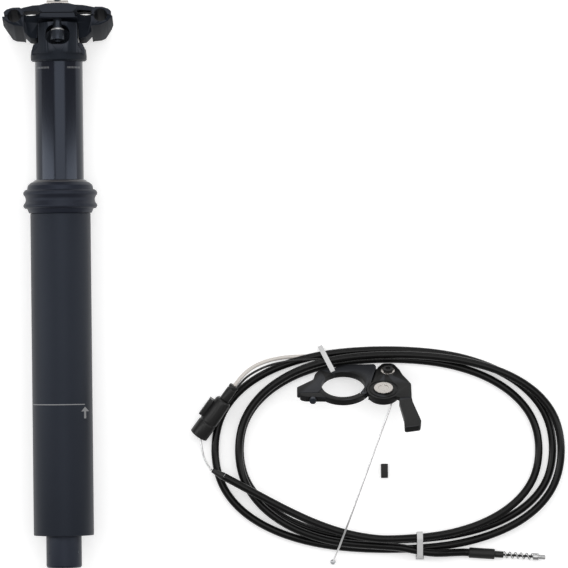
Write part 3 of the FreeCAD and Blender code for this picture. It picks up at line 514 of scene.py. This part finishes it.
bore = TUBE_R - TUBE_WALL
outer_profile = rounded_profile([
    (TUBE_R, 0.0), (TUBE_R, SHOULDER_Y), (SHOULDER_R, SHOULDER_Y), (SHOULDER_R, TUBE_TOP),
    (bore, TUBE_TOP), (bore, 0.0)], 0.3)
outer = add_piece("matt_outer_tube", lathe_mesh("matt_outer_tube", outer_profile),
                  marked_tube_material(), "post", ("outer_tube",))
print("outer tube:", len(outer.data.polygons), "faces")

# %% [markdown]
# The inner tube is polished and hard-anodised, so it is a dark mirror: black, with a low roughness
# and hardly any grain. Two rows of soft pale ticks under the head stand for a height scale.

# %% Inner tube
TICK_ROW_Y, TICK_ROW_X, TICKS_PER_M = 0.2395, 0.0078, 640.0
STANCHION_R, STANCHION_WALL, STANCHION_FOOT, HEAD_FOOT = 12.25, 1.2, 116.0, 242.9


def glossy_tube_material():
    sheet = Sheet("polished_tube")
    x, y, z = sheet.axes()
    patches = sheet.noise(0.04)
    cloud = sheet.noise(0.0009)
    band = (abs(y - TICK_ROW_Y) < 0.0005) * (z > 0.004)
    gaps = sheet.node("ShaderNodeMath", {"operation": "FRACT"}, {0: x * TICKS_PER_M})[0]
    tick = band * (gaps * 0.5 + 0.5) * (abs(abs(x) - TICK_ROW_X) < 0.0032) * 0.20
    base = sheet.tint(patches, (0.003, 0.003, 0.005), (0.005, 0.005, 0.008))
    varying = {
        "Base Color": sheet.tint(tick, base, (0.5, 0.5, 0.5)),
        "Roughness": 0.17 + (cloud - 0.5) * 0.05,
    }
    return sheet.paint({"IOR": 1.42, "Specular Tint": COOL}, varying)


inner_bore = STANCHION_R - STANCHION_WALL
inner_profile = rounded_profile([
    (STANCHION_R, STANCHION_FOOT), (STANCHION_R, HEAD_FOOT + 2.0), (inner_bore, HEAD_FOOT + 2.0),
    (inner_bore, STANCHION_FOOT)], 0.2)
inner = add_piece("polished_inner_tube", lathe_mesh("polished_inner_tube", inner_profile),
                  glossy_tube_material(), "slider", ("inner_tube",))
print("inner tube:", len(inner.data.polygons), "faces")

# %% [markdown]
# The collar closes the tube's top. Its rubber sleeve has two raised ridges with a hollow between
# them, and the wiper ends in a thin lip that catches the light all round. The lip is also painted a
# lighter grey than the sleeve: a painted highlight along the rim.

# %% Collar, sleeve and wiper
COLLAR_TOP = 181.0
collar_profile = rounded_profile([
    (15.02, 165.2), (16.1, 165.2), (17.0, 167.4), (17.0, 177.4), (16.6, 179.4), (14.8, COLLAR_TOP),
    (14.2, COLLAR_TOP), (14.2, 178.0), (12.85, 178.0), (12.85, 174.1), (15.02, 174.1)], 0.25)
add_piece("threaded_collar", lathe_mesh("threaded_collar", collar_profile), TUBE_BLACK, "post",
          ("seal_collar",))


def sleeve_profile():
    """Two round ridges and the hollow between them, as a smooth wave."""
    points = [(17.02, 177.2), (17.02, 167.5)]
    shape = ((167.5, 17.9), (167.9, 18.5), (168.4, 18.85), (168.9, 19.0), (169.6, 18.85),
             (170.4, 18.2), (171.2, 17.85), (172.1, 17.7), (173.0, 17.85), (173.8, 18.2),
             (174.6, 18.85), (175.3, 19.0), (176.0, 18.85), (176.7, 18.4), (177.2, 17.7))
    return points + [(radius, y) for y, radius in shape]


RINGS_PER_M = 9000.0


def ribbed_rubber():
    sheet = Sheet("sleeve_rubber")
    along = sheet.axes()[1]
    cloud = sheet.noise(0.0005)
    rings = sheet.node("ShaderNodeMath", {"operation": "SINE"}, {0: along * RINGS_PER_M})[0]
    varying = {
        "Base Color": sheet.tint(cloud, (0.008, 0.009, 0.014), (0.012, 0.013, 0.019)),
        "Roughness": 0.44 + (cloud - 0.5) * 0.14,
        "Normal": sheet.bump(rings * 0.3 + cloud, 0.00003),
    }
    return sheet.paint({"IOR": 1.36, "Specular Tint": COOL}, varying)


add_piece("ridged_sleeve", lathe_mesh("ridged_sleeve", sleeve_profile(), 60.0), ribbed_rubber(),
          "post", ("collar_cover",))
wiper_profile = rounded_profile([
    (12.31, 178.0), (14.15, 178.0), (14.15, COLLAR_TOP), (13.4, 181.9), (12.6, 182.3), (12.31, 182.3)], 0.2)
# Painted highlight: the lip's rubber is a lighter grey than the sleeve's, for the pale line along the rim.
WIPER_RIM_SHEEN = moulded("wiper_rim", (0.02, 0.02, 0.024), 0.3, coat=0.2)
add_piece("wiper_lip", lathe_mesh("wiper_lip", wiper_profile), WIPER_RIM_SHEEN, "post", ("wiper_seal",))
print("collar, sleeve and wiper turned")

# %% [markdown]
# ## Machined and forged pieces
# The CAD nodes have the right shapes but razor edges. A real casting or forging has a small radius
# on every edge, and that is where it catches the light. So a copy of each node is merged, its flat
# faces are joined again, and a Bevel modifier rounds the edges by the amount the real part has.

# %% Edges rounded on a copy of a node
def merged_copy(node, name):
    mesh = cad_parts[node].data.copy()
    mesh.name = name
    form = bmesh.new()
    form.from_mesh(mesh)
    bmesh.ops.remove_doubles(form, verts=form.verts, dist=2e-6)
    bmesh.ops.dissolve_limit(form, angle_limit=math.radians(1.0), verts=form.verts,
                             edges=form.edges)
    form.to_mesh(mesh)
    form.free()
    return mesh


def with_modifiers(name, mesh, *modifiers):
    """The mesh after the modifiers, each a type and its settings, have been applied."""
    holder = bpy.data.objects.new(name, mesh)
    scene.collection.objects.link(holder)
    for kind, settings in modifiers:
        modifier = holder.modifiers.new(kind.lower(), kind)
        for key, value in settings.items():
            setattr(modifier, key, value)
    graph = bpy.context.evaluated_depsgraph_get()
    result = bpy.data.meshes.new_from_object(holder.evaluated_get(graph))
    bpy.data.objects.remove(holder)
    result.name = name
    return result


def rounded(name, base, steps, width, angle=32.0):
    """The base mesh after each step (operation, mesh) of Booleans, then with its edges rounded."""
    holders, modifiers = [], []
    for operation, mesh in steps:
        holder = bpy.data.objects.new(mesh.name, mesh)
        scene.collection.objects.link(holder)
        holders.append(holder)
        modifiers.append(("BOOLEAN", {"operation": operation, "object": holder, "solver": "EXACT"}))
    bevel = {"width": MM * width, "segments": 3, "limit_method": "ANGLE",
             "angle_limit": math.radians(angle), "use_clamp_overlap": True, "miter_outer": "MITER_ARC"}
    mesh = with_modifiers(name, base, *modifiers, ("BEVEL", bevel))
    for holder in holders:
        bpy.data.objects.remove(holder)
    mesh.materials.clear()
    mesh.shade_smooth()
    mesh.set_sharp_from_angle(angle=math.radians(angle))
    print(f"{name}: {len(mesh.polygons)} faces")
    return mesh


def softened(name, node, material, body, width, angle=32.0):
    """A copy of a CAD node with its sharp edges rounded, in place of that node."""
    mesh = rounded(name, merged_copy(node, name), [], width, angle)
    add_piece(name, mesh, material, body, (node,))


softened("forged_head", "post_head", HEAD_BLACK, "slider", 0.45)
softened("foot_fork", "bottom_cap", TUBE_BLACK, "post", 0.25)
softened("cable_rocker", "actuator_lever", BOLT_BLACK, "actuator", 0.25)
softened("rocker_pin", "actuator_pin", BOLT_BLACK, "post", 0.2)
softened("head_bolts", "clamp_bolts", BOLT_BLACK, "saddle_clamp", 0.2)
softened("barrel_nuts", "clamp_barrel_nuts", SILVER, "saddle_clamp", 0.25)
softened("head_washers", "clamp_washers", BOLT_STEEL, "saddle_clamp", 0.1)

# %% [markdown]
# A thin black sleeve closes the fork at the foot, so that dirt stays off the rocker. It is turned
# like the tubes, and is open below for the cable.

# %% Foot sleeve
sleeve = rounded_profile([(8.75, 0.2), (9.1, 0.2), (9.1, -15.6), (8.5, -16.6), (7.2, -16.6), (7.2, -16.1),
                          (8.3, -16.1), (8.75, -15.4)], 0.2)
foot = add_piece("foot_sleeve", lathe_mesh("foot_sleeve", sleeve), TUBE_BLACK, "post", ())
print("foot sleeve:", len(foot.data.polygons), "faces")

# %% [markdown]
# The bow over the rails is a forging with a deep block at each rail and in the middle, joined by
# slim arches that let light through. It is drawn as flat outlines, each given its own depth, tipped
# as the clamp is, joined by Boolean modifiers and rounded like the rest.

# %% Plates from outlines
RAIL_Y, RAIL_X, RAIL_R, TIP = 262.5, 22.0, 3.5, math.radians(-13.5)


def plate_between(name, outline, low, high, place):
    """A flat outline with a depth, each of its points brought to its place by that function."""
    form = bmesh.new()
    layers = []
    for z in (low, high):
        layers.append([form.verts.new(MM * place(Vector((x, y, z)))) for x, y in outline])
    form.faces.new(layers[0])
    form.faces.new(list(reversed(layers[1])))
    size = len(outline)
    for k in range(size):
        after = (k + 1) % size
        form.faces.new((layers[0][k], layers[0][after], layers[1][after], layers[1][k]))
    bmesh.ops.recalc_face_normals(form, faces=form.faces)
    mesh = bpy.data.meshes.new(name)
    form.to_mesh(mesh)
    form.free()
    return mesh


def tipped_plate(name, outline, depth):
    """A plate whose outline is (x, height over the rails), tipped with the clamp."""
    tip = Matrix.Rotation(TIP, 3, "X")
    return plate_between(name, outline, -depth, depth, lambda p: Vector((0, RAIL_Y, 0)) + tip @ p)


def mirrored(outline):
    return outline + [(-x, y) for x, y in reversed(outline)]


def on_side(outline, side):
    return [(side * x, y) for x, y in outline]


def rail_circle(side):
    turns = [2 * math.pi * k / 48 for k in range(48)]
    return [(side * RAIL_X + RAIL_R * math.cos(t), RAIL_R * math.sin(t)) for t in turns]


# %% [markdown]
# The bow's outlines hold only the right half; a mirror gives the left. The arches come first, then
# the three deep blocks are joined to them, and last the two rails cut their troughs.

# %% Bow
ARCH_DEPTH, BLOCK_DEPTH, CUT_DEPTH = 3.6, 14.8, 20.0
arch = [(7.6, 1.8), (9.2, 3.2), (9.8, 4.9), (11.4, 5.6), (14.0, 5.8), (16.8, 5.5), (18.6, 4.9),
        (18.8, 0.4), (27.0, 0.4), (27.4, 2.2), (25.6, 3.9), (22.6, 5.6), (18.0, 7.5), (13.0, 8.6),
        (7.0, 9.0)]
rail_block = [(17.6, 0.4), (27.0, 0.4), (27.4, 2.0), (26.0, 3.3), (23.0, 4.3), (19.4, 4.4), (17.6, 3.4)]
middle = [(7.6, 1.8), (9.4, 3.3), (9.7, 5.4), (6.0, 6.4), (2.0, 6.7)]
steps = [("UNION", tipped_plate("middle", mirrored(middle), BLOCK_DEPTH))]
for end in (-1, 1):
    steps.append(("UNION", tipped_plate("rail_block", on_side(rail_block, end), BLOCK_DEPTH)))
for end in (-1, 1):
    steps.append(("DIFFERENCE", tipped_plate("rail", rail_circle(end), CUT_DEPTH)))
bow = rounded("rail_bow", tipped_plate("arch", mirrored(arch), ARCH_DEPTH), steps, 0.4)
add_piece("rail_bow", bow, CLAMP_BLACK, "saddle_clamp", ("upper_clamp",))

# %% [markdown]
# The cradle keeps its CAD shape, less a slanted cut on each outer flank, and gets two low webs under
# the arches, which leave a lens-shaped slit. The head gets a small flare at each side, where the
# forging widens towards its socket. The cuts and flares are drawn square to the post.

# %% Cradle and head flares
web = [(8.9, -0.95), (8.9, 3.0), (10.0, 4.2), (11.6, 3.5), (14.2, 3.2), (16.8, 3.5), (18.6, 4.3),
       (18.4, -4.0), (10.7, -4.0), (10.7, -0.95)]
webs = rounded("cradle_webs", tipped_plate("web_left", on_side(web, -1), ARCH_DEPTH),
               [("UNION", tipped_plate("web_right", web, ARCH_DEPTH))], 0.3)
add_piece("cradle_webs", webs, CLAMP_BLACK, "saddle_clamp", ())


def square_plate(name, outline, low, high):
    return plate_between(name, outline, low, high, lambda p: p)


flank = [(22.2, 252.2), (29.6, 263.5), (31.0, 263.5), (31.0, 250.0), (22.2, 250.0)]
cuts = [("DIFFERENCE", square_plate("flank", on_side(flank, end), -CUT_DEPTH, CUT_DEPTH))
        for end in (-1, 1)]
cradle = rounded("rail_cradle", merged_copy("lower_cradle", "rail_cradle"), cuts, 0.4)
add_piece("rail_cradle", cradle, CLAMP_BLACK, "saddle_clamp", ("lower_cradle",))

# The flares are lower behind, where the tipped cradle comes down.
FRONT, BEHIND = (1.0, 7.0), (-7.0, 1.5)
tall = [(9.0, 246.0), (13.7, 246.0), (13.3, 249.6), (12.6, 251.5), (10.6, 252.3), (9.0, 252.3)]
short = [(9.0, 246.0), (13.7, 246.0), (13.3, 249.2), (12.2, 250.4), (9.0, 250.6)]
flares = [("UNION", square_plate("tall", on_side(tall, -1), *FRONT)),
          ("UNION", square_plate("short", short, *BEHIND)),
          ("UNION", square_plate("short", on_side(short, -1), *BEHIND))]
flared = rounded("head_flares", square_plate("head_flares", tall, *FRONT), flares, 0.4)
add_piece("head_flares", flared, HEAD_BLACK, "slider", ())

# %% [markdown]
# The remote has the same satin black, with a turned silver disc on its pivot and a ring round the
# screw that clamps the cable.

# %% Remote
softened("remote_upper", "remote_body", REMOTE_BLACK, "post", 0.35)
softened("remote_strap", "remote_band", REMOTE_BLACK, "band", 0.35)
softened("thumb_paddle", "remote_lever", REMOTE_BLACK, "thumb_lever", 0.4)
softened("pivot_disc", "lever_pivot_bolt", SILVER, "post", 0.15)
softened("strap_bolt", "remote_clamp_bolt", BOLT_BLACK, "band", 0.2)
softened("strap_pin", "band_hinge_pin", BOLT_BLACK, "post", 0.1)
softened("anchor_screw", "cable_anchor_screw", NYLON, "thumb_lever", 0.15)
softened("anchor_ring", "cable_anchor_washer", SILVER, "thumb_lever", 0.1)

# %% [markdown]
# A low shelf behind the lever's lug closes the gap between it and the bar clamp. It lies in the
# remote's own plane, which leans on the bundle, so its points go through that lean.

# %% Shelf under the lever
REMOTE_PLACE, LEAN_SINE = Vector((143.98, 74.42, 0.6)), 0.56
LEAN_COSINE = math.sqrt(1 - LEAN_SINE * LEAN_SINE)


def on_remote(p):
    return REMOTE_PLACE + Vector((p.x, LEAN_SINE * p.y + LEAN_COSINE * p.z,
                                  -LEAN_COSINE * p.y + LEAN_SINE * p.z))


shelf_outline = [(14.8, 3.0), (15.8, 16.9), (22.5, 17.2), (24.5, 15.0), (22.5, 7.0)]
shelf = plate_between("lever_shelf", shelf_outline, -1.6, -0.7, on_remote)
add_piece("lever_shelf", rounded("lever_shelf", shelf, [], 0.2), REMOTE_BLACK, "post", ())

# %% [markdown]
# The adjuster is a turned nylon barrel with a shoulder and a ridged clip on its side. The ties, the
# boot, the ferrules and the sprung cable end are small pieces of the same kind.

# %% Adjuster and fittings
softened("adjuster_shell", "adjuster_body", NYLON, "post", 0.2)
softened("adjuster_screw", "adjuster_barrel", NYLON, "barrel", 0.12)
softened("adjuster_clip", "adjuster_grip", NYLON, "post", 0.15)
softened("bundle_ties", "cable_ties", TIE, "post", 0.12)
softened("spare_ferrule", "loose_ferrule", BOOT, "post", 0.2)
softened("rubber_boot", "housing_boot", BOOT, "post", 0.5)
softened("boot_ferrule", "end_ferrule", NYLON, "post", 0.15)
softened("end_spring", "cable_spring", BOLT_STEEL, "post", 0.03, 60.0)
softened("spring_core", "end_cable", DARK_CABLE, "post", 0.1)
softened("end_nipple", "cable_nipple", BOLT_STEEL, "post", 0.25)
softened("stub_ferrule", "housing_ferrule", NYLON, "post", 0.2)
softened("wire_stop", "wire_bead", ALLOY, "post", 0.1, 60.0)

# %% [markdown]
# ## The coil of housing and its cables
# A real housing is one springy tube wound into an oval. Its centre line is a formula: a flattened
# circle whose outward step and lift ease from one quarter turn to the next, as in the CAD model.
# Those points steer a smooth NURBS curve, so no bend looks bent by hand.

# %% The housing's centre line
COIL_CENTRE = Vector((166.8, 41.6, 0.0))
COIL_A, COIL_B, COIL_TURN = 88.9, 51.3, math.radians(-0.6)
COIL_Z, STACK, FLAT = -16.3, 4.55, 2.3
PER_QUARTER = 6
LOOPS = (
    ((-11.2, 0.0), (-4.6, 0.0), (-13.0, 0.0), (-4.9, 0.0)),
    ((-4.0, 0.0), (0.0, 0.0), (0.0, 0.0), (0.0, 0.0)),
    ((0.2, STACK), (-2.4, 4.3), (-12.4, STACK), (-1.6, STACK)),
)
STUB_START, STUB_AIM = Vector((82.3, 28.9, COIL_Z + 2 * STACK)), Vector((0.884, -0.468, 0))
TAIL_BEND, TAIL_END = Vector((190.7, -11.9, COIL_Z + STACK)), Vector((207.9, -11.9, COIL_Z))


def on_oval(quarter, out, lift):
    """A point of the flattened circle, at a quarter turn counted from the right."""
    angle = quarter * math.pi / 2
    c, s = math.cos(angle), math.sin(angle)
    x = (COIL_A + out) * math.copysign(abs(c) ** (2 / FLAT), c)
    y = (COIL_B + out) * math.copysign(abs(s) ** (2 / FLAT), s)
    turned = Vector((x * math.cos(COIL_TURN) - y * math.sin(COIL_TURN),
                     x * math.sin(COIL_TURN) + y * math.cos(COIL_TURN), COIL_Z + lift))
    return COIL_CENTRE + turned


def eased(start, start_aim, stop, stop_aim, count):
    """Points along the smooth cubic between two places and directions."""
    reach = (stop - start).length
    points = []
    for k in range(count):
        t = k / count
        a, b = start_aim.normalized() * reach, stop_aim.normalized() * reach
        points.append(start * (2 * t**3 - 3 * t**2 + 1) + a * (t**3 - 2 * t**2 + t)
                      + stop * (3 * t**2 - 2 * t**3) + b * (t**3 - t**2))
    return points


def housing_points():
    grow = 1.0 / math.cos(math.pi / (4 * PER_QUARTER))
    quarters = [(-5.6, 2 * STACK)] + [pair for loop in LOOPS for pair in loop]
    first = on_oval(3, *quarters[0])
    points = eased(STUB_START, STUB_AIM, first, Vector((1, 0, 0)), 8)
    for k, (here, ahead) in enumerate(zip(quarters, quarters[1:])):
        for step in range(PER_QUARTER):
            share = 0.5 - 0.5 * math.cos(math.pi * step / PER_QUARTER)
            out = here[0] + (ahead[0] - here[0]) * share
            lift = here[1] + (ahead[1] - here[1]) * share
            point = on_oval(3 + k + step / PER_QUARTER, out, lift)
            flat = COIL_CENTRE + (point - COIL_CENTRE) * grow
            points.append(Vector((flat.x, flat.y, point.z)))
    last = on_oval(3, *quarters[-1])
    points += eased(last, Vector((1, 0, 0)), TAIL_BEND, Vector((1, -0.03, -0.06)), 4)
    points += eased(TAIL_BEND, Vector((1, -0.03, -0.06)), TAIL_END, Vector((0.997, -0.074, 0)), 4)
    return points + [TAIL_END - Vector((0.997, -0.074, 0)) * 2.0, TAIL_END]


HOUSING_POINTS = housing_points()
print(len(HOUSING_POINTS), "points steer the housing")

# %% [markdown]
# A NURBS curve of order 3 runs smoothly near its points. Blender keeps the order and the clamped
# ends only if they are set after the points are there.

# %% Cords as curves
def cord_curve(name, points, radius, material, sides=6):
    """A round cord, its points in millimetres, as a curve object at the origin."""
    curve = bpy.data.curves.new(name, "CURVE")
    curve.dimensions = "3D"
    spline = curve.splines.new("NURBS")
    spline.points.add(len(points) - 1)
    for target, point in zip(spline.points, points):
        target.co = (*(MM * c for c in point), 1.0)
    spline.order_u = 3
    spline.use_endpoint_u = True
    spline.use_smooth = True
    curve.resolution_u = 6
    curve.bevel_depth = MM * radius
    curve.bevel_resolution = sides
    curve.use_fill_caps = True
    curve.materials.append(material)
    cord = bpy.data.objects.new(name, curve)
    scene.collection.objects.link(cord)
    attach(cord, "post")
    return cord


def line_length(cord):
    """Length in metres of the cord's centre line, and the points along it."""
    bare = cord.data.copy()
    bare.bevel_depth = 0.0
    holder = bpy.data.objects.new("ruler", bare)
    line = bpy.data.meshes.new_from_object(holder)
    places = [v.co.copy() for v in line.vertices]
    bpy.data.objects.remove(holder)
    return sum((b - a).length for a, b in zip(places, places[1:])), places


def least_gap(places, apart, radius):
    """Least distance between stretches of the cord that lie further apart than that many steps."""
    tree = KDTree(len(places))
    for k, place in enumerate(places):
        tree.insert(place, k)
    tree.balance()
    best = 1.0
    for k, place in enumerate(places):
        for _, index, distance in tree.find_range(place, 0.008):
            if abs(index - k) > apart:
                best = min(best, distance)
    return 1000 * (best - 2 * MM * radius)


HOUSING_R = 2.0
housing = cord_curve("housing_line", HOUSING_POINTS, HOUSING_R, JACKET, 8)
housing_length, housing_places = line_length(housing)
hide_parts("housing_coil")
print(f"housing: {housing_length:.3f} m, least gap {least_gap(housing_places, 20, HOUSING_R):.2f} mm")

# %% [markdown]
# The milky liner and the thin dark cable leave the adjuster's top and run into the bundle under the
# tie. The wires are the bare inner cable: one from the adjuster's foot, one from the lever.

# %% Liner, cable and wires
AIM = Vector((0.5853, 0.7899, 0.1829))
FOOT, ADJUSTER_LENGTH, STUB_FERRULE_LENGTH = Vector((69.3, 50.0, -13.2)), 32.4, 7.4
MOUTH = FOOT + AIM * ADJUSTER_LENGTH
liner_route = [MOUTH, MOUTH + AIM * 6.0, Vector((97.7, 85.2, -9.4)), Vector((105.7, 88.4, -12.8)),
               Vector((115.1, 90.0, -16.2)), Vector((124.7, 90.2, -17.3)), Vector((136.5, 90.0, -17.3))]
side = Vector((AIM.y, -AIM.x, 0))
CABLE_MOUTH = MOUTH + side * 1.75 + Vector((0, 0, 0.4))
cable_route = [CABLE_MOUTH, CABLE_MOUTH + AIM * 5.0, Vector((98.4, 82.6, -8.6)),
               Vector((106.3, 86.0, -11.2)), Vector((115.9, 87.9, -13.4)), Vector((126.0, 88.6, -13.8)),
               Vector((137.5, 88.8, -13.7))]
wire_foot = FOOT - AIM * 0.4 + side * 1.5
stub_tip = STUB_START - STUB_AIM.normalized() * STUB_FERRULE_LENGTH
adjuster_route = [wire_foot, Vector((71.0, 42.9, -12.6)), Vector((72.5, 37.0, -10.0)), stub_tip]
wire_start = on_remote(Vector((25.2, -8.2, -3.3)))
OVER, BEAD = Vector((142.0, -6.0, -3.4)), Vector((137.9, -16.1, -17.6))
lever_route = [wire_start, wire_start + (OVER - wire_start) * 0.5 + Vector((0, 0, 0.6)), OVER,
               BEAD - (BEAD - OVER).normalized() * 1.5]

LINER_R, CABLE_R, WIRE_R = 1.0, 0.6, 0.5
liner = cord_curve("liner_line", liner_route, LINER_R, LINER)
dark_cable = cord_curve("cable_line", cable_route, CABLE_R, DARK_CABLE)
foot_wire = cord_curve("foot_wire", adjuster_route, WIRE_R, CABLE_STEEL, 4)
lever_line = cord_curve("lever_line", lever_route, WIRE_R, CABLE_STEEL, 4)
THIN_CORDS = ((liner, "cable_liner", "liner_clear"), (dark_cable, "inner_cable", "cable_dark"),
              (foot_wire, "adjuster_wire", "cable_steel"), (lever_line, "lever_wire", "cable_steel"))
for piece, node, slot in THIN_CORDS:
    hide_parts(node)
    print(f"{piece.name}: {line_length(piece)[0]:.4f} m")

# %% Facts of the cords
line_length(liner)[0]
line_length(dark_cable)[0]
line_length(lever_line)[0]
print("four cords told: housing, liner, dark cable and lever wire")

# %% Finish
DRESSED_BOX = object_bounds()
for cad, dressed in zip(zip(*CAD_BOX), zip(*DRESSED_BOX)):
    print("CAD", [round(1000 * c, 2) for c in cad], "dressed", [round(1000 * c, 2) for c in dressed])
